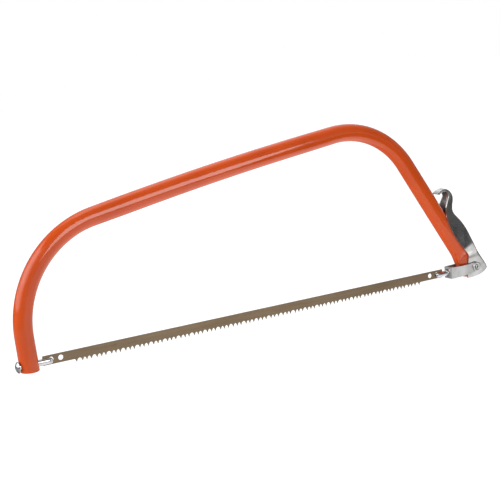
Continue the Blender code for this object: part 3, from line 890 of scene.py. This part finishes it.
def yoke_edge(x):
    """The yoke's lower and upper edge at x, easing from mark to mark and round at its ears."""
    px, pz = PIVOT
    if x > px:
        reach = math.sqrt(max(0.0, YOKE_EAR**2 - (x - px) ** 2))
        return pz - reach, pz + reach
    marks = [*YOKE_EDGES, (px, pz - YOKE_EAR, pz + YOKE_EAR)]
    for (x0, low0, high0), (x1, low1, high1) in zip(marks, marks[1:]):
        if x <= x1:
            t = max(0.0, (x - x0) / (x1 - x0))
            t = smoothstep(t) * 0.5 + t * 0.5
            return low0 + (low1 - low0) * t, high0 + (high1 - high0) * t
    return marks[-1][1:]


def make_yoke():
    """Its plan (x, y) goes from an ear along the arm and round the corner to the middle in front."""
    angles = [4.0 + 86.0 * i / 16 for i in range(17)]
    ear = [PIVOT[0] + YOKE_EAR * math.cos(math.radians(a)) for a in angles]
    plan = [(x, -YOKE_HALF_WIDTH) for x in ear]
    steps = 10
    for i in range(1, steps):
        plan.append((PIVOT[0] + (YOKE_SPLAY - PIVOT[0]) * i / steps, -YOKE_HALF_WIDTH))
    # The arms' plan eases from parallel to the splay, then turns the corner to the front wall.
    plan.extend([(YOKE_SPLAY, -YOKE_HALF_WIDTH), (643.0, -YOKE_HALF_WIDTH), (641.5, -10.87)])
    plan.extend([(640.0, -10.75), (638.5, -10.58), (634.0, -9.98), (628.0, -9.3), (622.5, -8.68)])
    turn = 3.5
    plan.extend(arc((YOKE_FRONT + turn, -4.9), turn, -98.0, -180.0, 10))
    plan.extend([(YOKE_FRONT, -2.6), (YOKE_FRONT, -1.3), (YOKE_FRONT, 0.0)])
    rows = 8
    columns = []
    for x, y in plan:
        low, high = yoke_edge(x)
        columns.append([(x, y, low + (high - low) * i / rows) for i in range(rows + 1)])
    yoke = sheet_piece("tension_yoke", columns, SATIN_ZINC, "yoke", "yoke", YOKE_THICKNESS)
    wide = BOLT_RADIUS + HOLE_PLAY
    slot = arc((0.0, 1.3), wide, 0.0, 180.0, 14) + arc((0.0, -1.3), wide, 180.0, 360.0, 14)
    cut(yoke, outline_mesh("bolt_slot", slot, 5.0, (YOKE_FRONT, 0.0, BOLT_Z), 90.0))
    hole = circle(RIVET_RADIUS + HOLE_PLAY)
    cut(yoke, outline_mesh("rivet_hole", hole, 20.0, (PIVOT[0], 0.0, PIVOT[1])))
    soften(yoke, 0.35, 3, 40.0)


def lever_column(row, toe):
    """Half of the section at a row, from the flange's free edge to the middle of the back.

    The toe has no back.
    """
    back_x, back_z, front_x, front_z, wide, narrow = row
    back = Vector((back_x, back_z))
    front = Vector((front_x, front_z))
    depth = (front - back).length
    inward = (front - back) / depth
    turn = LEVER_CORNER if toe else min(LEVER_CORNER, depth * 0.6)
    near = back + inward * turn
    column = []
    flange = 7
    for i in range(flange + 1):
        t = i / flange
        spot = front.lerp(near, t)
        half = wide + (narrow - wide) * t
        column.append((spot.x, -half, spot.y))
    for i in range(1, 6):
        angle = math.radians(18.0 * i)
        spot = back + inward * (turn * (1.0 - math.sin(angle)))
        half = narrow if toe else narrow - turn * (1.0 - math.cos(angle))
        column.append((spot.x, -half, spot.y))
    if toe:
        return column + [None] * 4
    half = narrow - turn
    for i in range(1, 5):
        column.append((back.x, -half * (1.0 - i / 4.0), back.y))
    return column


def make_lever():
    rows = spline(LEVER_TOE + LEVER_CHANNEL, LEVER_STEPS)
    first = len(LEVER_TOE) * LEVER_STEPS
    columns = [lever_column(row, i < first) for i, row in enumerate(rows)]
    lever = sheet_piece("tension_lever", columns, POLISHED_ZINC, "lever", "lever", SHEET)
    for name, radius, (x, z) in (
        ("rivet_hole", RIVET_RADIUS, PIVOT),
        ("pin_hole", FULCRUM_PIN_RADIUS, FULCRUM),
    ):
        cut(lever, outline_mesh(name, circle(radius + HOLE_PLAY), 20.0, (x, 0.0, z)))
    soften(lever, 0.6, 3, 42.0)


# Rivets, washers and sleeves on the two hinge axes.


def rounded_ring(inner, outer, half, edge):
    """A bush's or a washer's profile (radius, distance), its outer edges rounded."""
    near_corner = edge * 0.3
    rim = [(inner, half - edge), (inner + edge, half), (outer - edge, half)]
    rim.extend([(outer - near_corner, half - near_corner), (outer, half - edge)])
    return both_ends(rim)


def make_hardware():
    """The rivet with its washers and spacer on one hinge, the pin and its bush on the other."""
    toward = (0.0, -1.0, 0.0)
    pivot = (PIVOT[0], 0.0, PIVOT[1])
    fulcrum = (FULCRUM[0], 0.0, FULCRUM[1])
    washer_y = YOKE_HALF_WIDTH + 1.0
    washer = rounded_ring(RIVET_RADIUS + HOLE_PLAY, WASHER_RADIUS, WASHER_HALF, 0.3)
    for name, node, side in (
        ("washer_near_side", "near_washer", 1.0),
        ("washer_far_side", "far_washer", -1.0),
    ):
        profile = [(radius, distance + side * washer_y) for radius, distance in washer]
        mesh = turned_mesh(name, profile, toward, pivot, 64, True)
        piece(name, mesh, SATIN_ZINC, "yoke", [node])
    seat = washer_y + 1.0
    profile = [(0.0, seat - 4.0), (1.1, seat - 4.0), (1.3, seat - 3.6), (1.3, seat), (1.5, seat + 0.5)]
    profile.extend([(1.9, seat + 0.85), (2.4, seat + 0.9), (2.85, seat + 0.75), (3.1, seat + 0.4)])
    profile.extend([(3.05, seat + 0.05), (2.5, seat), (RIVET_RADIUS, seat - 0.2)])
    profile.extend([(RIVET_RADIUS, -seat + 0.1), (4.2, -seat), (4.4, -seat - 0.2), (4.4, -seat - 0.6)])
    profile.extend([(4.0, -seat - 1.1), (3.0, -seat - 1.5), (1.6, -seat - 1.68), (0.0, -seat - 1.7)])
    mesh = turned_mesh("rolled_rivet", profile, toward, pivot)
    piece("rolled_rivet", mesh, SATIN_ZINC, "yoke", ["pivot_rivet"])
    inside = PLATE_HALF_WIDTH - SHEET - SPACER_PLAY
    profile = rounded_ring(RIVET_RADIUS + HOLE_PLAY, SPACER_RADIUS, inside, 0.2)
    mesh = turned_mesh("rivet_spacer", profile, toward, pivot, 48, True)
    piece("rivet_spacer", mesh, SATIN_ZINC, "yoke", ["pivot_spacer"])
    end = PLATE_HALF_WIDTH
    chamfer = [(0.0, end), (1.0, end), (2.1, end - 0.1), (FULCRUM_PIN_RADIUS, end - 0.4)]
    profile = both_ends(chamfer)
    mesh = turned_mesh("flush_fulcrum_pin", profile, toward, fulcrum, 48)
    piece("flush_fulcrum_pin", mesh, SATIN_ZINC, "lever", ["fulcrum_pin"])
    inside = FLAT_HALF - TUBE_WALL - SPACER_PLAY
    profile = rounded_ring(FULCRUM_PIN_RADIUS + HOLE_PLAY, 3.8, inside, 0.2)
    mesh = turned_mesh("fulcrum_bush", profile, toward, fulcrum, 48, True)
    piece("fulcrum_bush", mesh, SATIN_ZINC, "frame", ["fulcrum_sleeve"])


# Studio.


def matt(name, grey):
    """A dull grey paint, and its shader."""
    paint = bpy.data.materials.new(name)
    paint.use_nodes = True
    shader = paint.node_tree.nodes["Principled BSDF"]
    shader.inputs["Base Color"].default_value = (grey, grey, grey, 1.0)
    shader.inputs["Roughness"].default_value = 0.9
    return paint, shader


def make_floor():
    """A pale floor, lit up to white. Reflections show the world's lower bands in its place."""
    mesh = bpy.data.meshes.new("studio_floor")
    side = 6.0
    corners = [(-side, -side, 0.0), (side, -side, 0.0), (side, side, 0.0), (-side, side, 0.0)]
    mesh.from_pydata(corners, [], [(0, 1, 2, 3)])
    floor = added("studio_floor", mesh)
    floor.location.z = cad_box[0].z - 0.0004
    paint, shader = matt("studio_floor", 0.25)
    shader.inputs["Specular IOR Level"].default_value = 0.1
    shader.inputs["Emission Color"].default_value = WHITE
    shader.inputs["Emission Strength"].default_value = 0.92
    mesh.materials.append(paint)
    floor.visible_glossy = False


# Brightness round the room as (azimuth, level), by bands of elevation from the floor up. Azimuth
# is in degrees, 0 at the front of the saw and positive to the right.
FLOOR_BAND = (
    (-180, 0.25), (-150, 0.25), (-110, 0.4), (-80, 0.6), (-50, 0.85), (-10, 0.85),
    (20, 1.2), (50, 1.3), (90, 1.4), (120, 1.2), (140, 0.6), (160, 0.3), (180, 0.25),
)
HORIZON_FLOOR = (
    (-180, 0.4), (-145, 0.5), (-110, 0.4), (-70, 0.5), (-30, 0.55), (-10, 0.75), (10, 0.95),
    (40, 1.05), (60, 0.95), (90, 0.9), (125, 0.7), (155, 0.3), (180, 0.4),
)
HORIZON = (
    (-180, 0.1), (-140, 0.12), (-110, 0.35), (-70, 0.15), (-40, 0.2), (-10, 0.5), (5, 0.9),
    (22, 0.9), (38, 0.6), (47, 0.1), (110, 0.12), (180, 0.1),
)
LOW_WALL = (
    (-180, 0.1), (-155, 0.35), (-136, 1.5), (-117, 2.3), (-107, 2.5), (-90, 2.2), (-75, 1.3),
    (-62, 0.4), (-55, 0.2), (-30, 0.4), (10, 0.5), (45, 0.15), (55, 0.05), (70, 0.3),
    (100, 0.3), (140, 0.4), (180, 0.1),
)
WALL = (
    (-180, 0.3), (-152, 0.4), (-135, 2.2), (-115, 3.4), (-95, 3.1), (-80, 2.6), (-68, 1.3),
    (-52, 0.35), (-30, 0.4), (-10, 0.4), (10, 0.3), (40, 0.2), (60, 0.1), (100, 0.3),
    (130, 0.7), (150, 1.2), (180, 0.3),
)
CEILING = (
    (-180, 1.5), (-165, 1.2), (-150, 0.3), (-130, 0.1), (40, 0.05), (70, 0.3), (110, 0.5),
    (140, 1.2), (165, 1.6), (180, 1.5),
)
# The elevation in degrees where each band takes over from the one below, give or take.
BANDS = (
    (-26, 4.0, HORIZON_FLOOR),
    (-10, 2.0, HORIZON),
    (4, 3.0, LOW_WALL),
    (21, 4.0, WALL),
    (52, 3.0, CEILING),
)


def room_curve(graph, turn, stops):
    """Brightness at a turn (0 at the back, 0.5 at the front), straight from each stop to the next."""
    most = 6.0
    node = graph.nodes.new("ShaderNodeFloatCurve")
    graph.links.new(turn, node.inputs["Value"])
    curve = node.mapping.curves[0]
    spots = [((angle + 180.0) / 360.0, level / most) for angle, level in stops]
    curve.points[0].location = spots[0]
    curve.points[1].location = spots[-1]
    for spot in spots[1:-1]:
        curve.points.new(*spot)
    for point in curve.points:
        point.handle_type = "VECTOR"
    node.mapping.update()
    return graph.math("MULTIPLY", node.outputs["Value"], most)


def make_world():
    """A studio as a function of direction, plain white where the camera looks at it.

    The saw reflects the bands: walls bright at the left and dim at the front and right, and a
    ceiling that is bright at the back.
    """
    world = bpy.data.worlds.new("studio")
    bpy.context.scene.world = world
    g = Graph(world, "Generated")
    azimuth = g.math("ARCTAN2", g.axis("X"), g.math("MULTIPLY", g.axis("Y"), -1.0))
    turn = g.math("ADD", g.math("DIVIDE", azimuth, 2.0 * math.pi), 0.5)
    height = g.axis("Z")
    total = room_curve(g, turn, FLOOR_BAND)
    for degrees, softness, stops in BANDS:
        low = math.sin(math.radians(degrees - softness))
        high = math.sin(math.radians(degrees + softness))
        over = g.remap(height, low, high)
        band = room_curve(g, turn, stops)
        under = g.math("MULTIPLY", total, g.math("SUBTRACT", 1.0, over))
        total = g.math("ADD", g.math("MULTIPLY", band, over), under)
    light = g.nodes["Background"]
    light.inputs["Color"].default_value = WHITE
    g.links.new(total, light.inputs["Strength"])
    seen = g.nodes.new("ShaderNodeBackground")
    seen.inputs["Color"].default_value = WHITE
    mix = g.nodes.new("ShaderNodeMixShader")
    g.links.new(g.nodes.new("ShaderNodeLightPath").outputs["Is Camera Ray"], mix.inputs["Fac"])
    g.links.new(light.outputs["Background"], mix.inputs[1])
    g.links.new(seen.outputs["Background"], mix.inputs[2])
    g.links.new(mix.outputs["Shader"], g.nodes["World Output"].inputs["Surface"])


def softbox(name, place, target, width, height, power, roll=0.0):
    """A rectangular lamp that the camera doesn't see, turned by roll about its own beam."""
    data = bpy.data.lights.new(name, "AREA")
    data.shape = "RECTANGLE"
    data.size = width
    data.size_y = height
    data.energy = power
    lamp = added(name, data)
    towards = (Vector(target) - Vector(place)).to_track_quat("-Z", "Y").to_matrix().to_4x4()
    rolled = Matrix.Rotation(math.radians(roll), 4, "Z")
    lamp.matrix_world = Matrix.Translation(place) @ towards @ rolled
    lamp.visible_camera = False
    return lamp


def make_lights():
    """An overhead lamp that doesn't show in reflections, and a panel in front that only shows there."""
    key = softbox("overhead_softbox", (-0.2, -0.35, 1.65), (0.0, 0.0, 0.1), 1.4, 1.1, 13.8)
    key.visible_glossy = False
    panel = softbox("front_panel", (-0.03, -0.5, 0.335), (-0.03, 0.0, 0.335), 0.75, 0.33, 3.4, -18.0)
    panel.visible_diffuse = False


# The card's outline (x, y) in metres, notched where the lever's plate would show its edge.
CARD = (
    (0.20, -1.5), (2.2, -1.5), (2.2, 0.4), (0.9, 0.4), (0.66, -0.34),
    (0.53, -0.42), (0.44, -0.24), (0.30, -0.15), (0.20, -0.24),
)


def make_black_card():
    """A card on the floor at the front right, seen only in reflections."""
    mesh = bpy.data.meshes.new("black_card")
    mesh.from_pydata([(x, y, 0.0) for x, y in CARD], [], [range(len(CARD))])
    card = added("black_card", mesh)
    card.location.z = cad_box[0].z
    paint, _ = matt("black_card", 0.02)
    mesh.materials.append(paint)
    card.visible_camera = False
    card.visible_diffuse = False
    card.visible_shadow = False


def make_camera():
    data = bpy.data.cameras.new("camera")
    data.sensor_width = 36.0
    data.lens = CAMERA_LENS
    data.clip_start = 0.05
    data.clip_end = 30.0
    camera = added("camera", data)
    right = Vector(CAMERA_RIGHT)
    up = Vector(CAMERA_UP)
    turn = Matrix((right, up, right.cross(up))).transposed().to_4x4()
    place = DATUM + Vector(CAMERA_PLACE) * MM
    camera.matrix_world = Matrix.Translation(place) @ turn
    bpy.context.scene.camera = camera


make_tube()
make_blade()
make_nose_bolt()
make_rear_bolt()
make_cross_pins()
make_yoke()
make_lever()
make_hardware()
make_floor()
make_world()
make_lights()
make_black_card()
make_camera()

settings = bpy.context.scene.view_settings
settings.view_transform = "Standard"
settings.look = "None"
